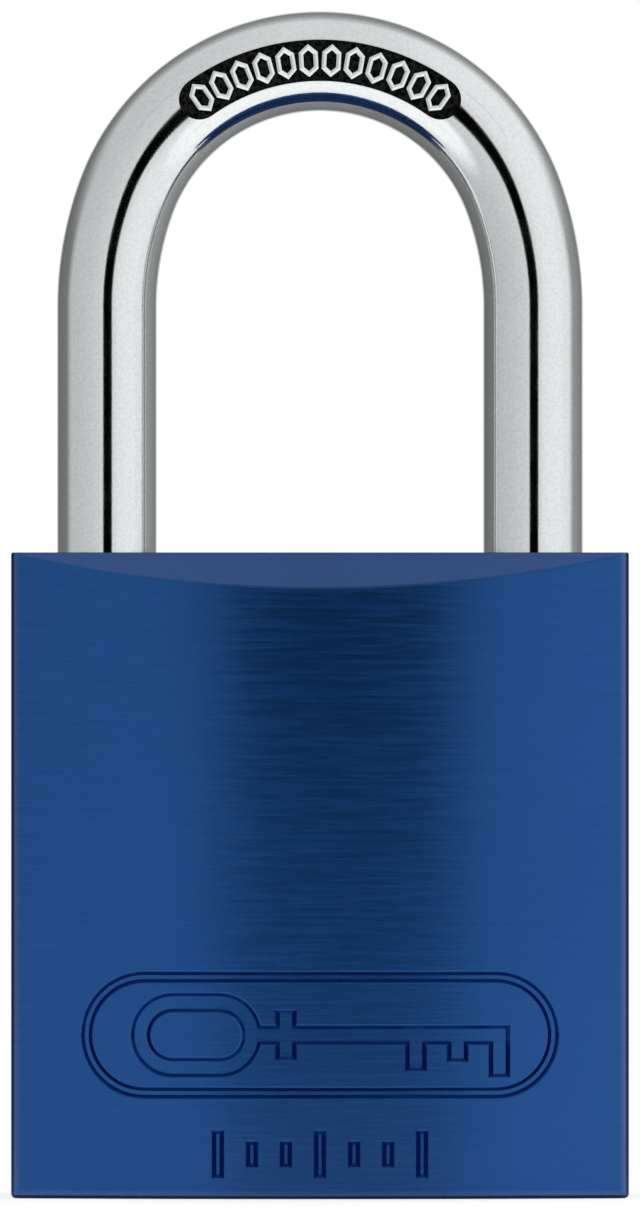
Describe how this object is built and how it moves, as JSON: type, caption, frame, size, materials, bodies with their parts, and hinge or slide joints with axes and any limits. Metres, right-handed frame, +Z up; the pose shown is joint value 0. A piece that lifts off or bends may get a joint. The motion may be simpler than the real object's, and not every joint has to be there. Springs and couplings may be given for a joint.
{
  "type": "safety padlock",
  "caption": "Keyed safety padlock: a blue aluminium body with bowed faces, and a round steel shackle held by balls that the key cylinder's cam drives.",
  "frame": {"origin": "centre of the body's underside, on the surface it stands on", "axes": "+Z up along the shackle legs, +X towards the leg that comes free (the toe), -Y out of the marked front face"},
  "size_m": [0.04, 0.019, 0.077],
  "materials": {
    "body_blue": "blue anodised, finely brushed across the faces",
    "shackle_steel": "hardened steel bar, bright plated, fine satin polish",
    "spring_steel": "drawn spring wire, plain",
    "hardened_steel": "hardened and ground, bright",
    "cam_steel": "machined steel, lightly oiled",
    "screw_steel": "black oxide",
    "brass": "machined brass",
    "plug_brass": "nickel silver, turned",
    "key_pin_brass": "turned brass, bright",
    "driver_nickel": "nickel silver, turned"
  },
  "bodies": {
    "lock_body": {"lock_body": "body_blue", "cylinder_housing": "brass", "chamber_caps": "brass", "cylinder_screw": "screw_steel", "housing_guard_pins": "hardened_steel", "shackle_spring": "spring_steel", "pin_spring_1": "spring_steel", "pin_spring_2": "spring_steel", "pin_spring_3": "spring_steel", "pin_spring_4": "spring_steel", "pin_spring_5": "spring_steel", "pin_spring_6": "spring_steel"},
    "shackle": {"shackle": "shackle_steel"},
    "plug": {"cylinder_plug": "plug_brass", "plug_clip": "spring_steel", "plug_guard_pins": "hardened_steel", "locking_cam": "cam_steel"},
    "toe_ball": {"toe_ball": "hardened_steel"},
    "heel_ball": {"heel_ball": "hardened_steel"},
    "driver_pin_1": {"driver_pin_1": "driver_nickel"},
    "driver_pin_2": {"driver_pin_2": "driver_nickel"},
    "driver_pin_3": {"driver_pin_3": "driver_nickel"},
    "driver_pin_4": {"driver_pin_4": "driver_nickel"},
    "driver_pin_5": {"driver_pin_5": "driver_nickel"},
    "driver_pin_6": {"driver_pin_6": "driver_nickel"},
    "key_pin_1": {"key_pin_1": "key_pin_brass"},
    "key_pin_2": {"key_pin_2": "key_pin_brass"},
    "key_pin_3": {"key_pin_3": "key_pin_brass"},
    "key_pin_4": {"key_pin_4": "key_pin_brass"},
    "key_pin_5": {"key_pin_5": "key_pin_brass"},
    "key_pin_6": {"key_pin_6": "key_pin_brass"}
  },
  "joints": [
    {"name": "plug_turn", "type": "hinge", "parent": "lock_body", "child": "plug", "pos_m": [0, 0, 0.012], "axis": [0, 0, 1], "range_deg": [-90, 0]},
    {"name": "shackle_lift", "type": "slide", "parent": "lock_body", "child": "shackle", "axis": [0, 0, 1], "range_m": [0, 0.0133], "deforming": ["shackle_spring"]},
    {"name": "toe_ball_slide", "type": "slide", "parent": "lock_body", "child": "toe_ball", "axis": [1, 0, 0], "range_m": [0, 0.00175]},
    {"name": "heel_ball_slide", "type": "slide", "parent": "lock_body", "child": "heel_ball", "axis": [-1, 0, 0], "range_m": [0, 0.0007]},
    {"name": "tumbler_driver_1", "type": "slide", "parent": "lock_body", "child": "driver_pin_1", "axis": [1, 0, 0], "range_m": [0, 0.0022], "stiffness_N_per_m": 60, "springref_m": -0.002, "deforming": ["pin_spring_1"]},
    {"name": "tumbler_driver_2", "type": "slide", "parent": "lock_body", "child": "driver_pin_2", "axis": [1, 0, 0], "range_m": [0, 0.0022], "stiffness_N_per_m": 60, "springref_m": -0.002, "deforming": ["pin_spring_2"]},
    {"name": "tumbler_driver_3", "type": "slide", "parent": "lock_body", "child": "driver_pin_3", "axis": [1, 0, 0], "range_m": [0, 0.0022], "stiffness_N_per_m": 60, "springref_m": -0.002, "deforming": ["pin_spring_3"]},
    {"name": "tumbler_driver_4", "type": "slide", "parent": "lock_body", "child": "driver_pin_4", "axis": [1, 0, 0], "range_m": [0, 0.0022], "stiffness_N_per_m": 60, "springref_m": -0.002, "deforming": ["pin_spring_4"]},
    {"name": "tumbler_driver_5", "type": "slide", "parent": "lock_body", "child": "driver_pin_5", "axis": [1, 0, 0], "range_m": [0, 0.0022], "stiffness_N_per_m": 60, "springref_m": -0.002, "deforming": ["pin_spring_5"]},
    {"name": "tumbler_driver_6", "type": "slide", "parent": "lock_body", "child": "driver_pin_6", "axis": [1, 0, 0], "range_m": [0, 0.0022], "stiffness_N_per_m": 60, "springref_m": -0.002, "deforming": ["pin_spring_6"]},
    {"name": "tumbler_key_pin_1", "type": "slide", "parent": "plug", "child": "key_pin_1", "axis": [0, 1, 0], "range_m": [-0.00205, 0]},
    {"name": "tumbler_key_pin_2", "type": "slide", "parent": "plug", "child": "key_pin_2", "axis": [0, 1, 0], "range_m": [-0.00145, 0]},
    {"name": "tumbler_key_pin_3", "type": "slide", "parent": "plug", "child": "key_pin_3", "axis": [0, 1, 0], "range_m": [-0.00175, 0]},
    {"name": "tumbler_key_pin_4", "type": "slide", "parent": "plug", "child": "key_pin_4", "axis": [0, 1, 0], "range_m": [-0.00085, 0]},
    {"name": "tumbler_key_pin_5", "type": "slide", "parent": "plug", "child": "key_pin_5", "axis": [0, 1, 0], "range_m": [-0.00115, 0]},
    {"name": "tumbler_key_pin_6", "type": "slide", "parent": "plug", "child": "key_pin_6", "axis": [0, 1, 0], "range_m": [-0.00175, 0]}
  ],
  "couplings": [
    {"joint": "toe_ball_slide", "follows": "plug_turn", "m_per_rad": -0.0011141},
    {"joint": "heel_ball_slide", "follows": "plug_turn", "m_per_rad": -0.00044563}
  ]
}
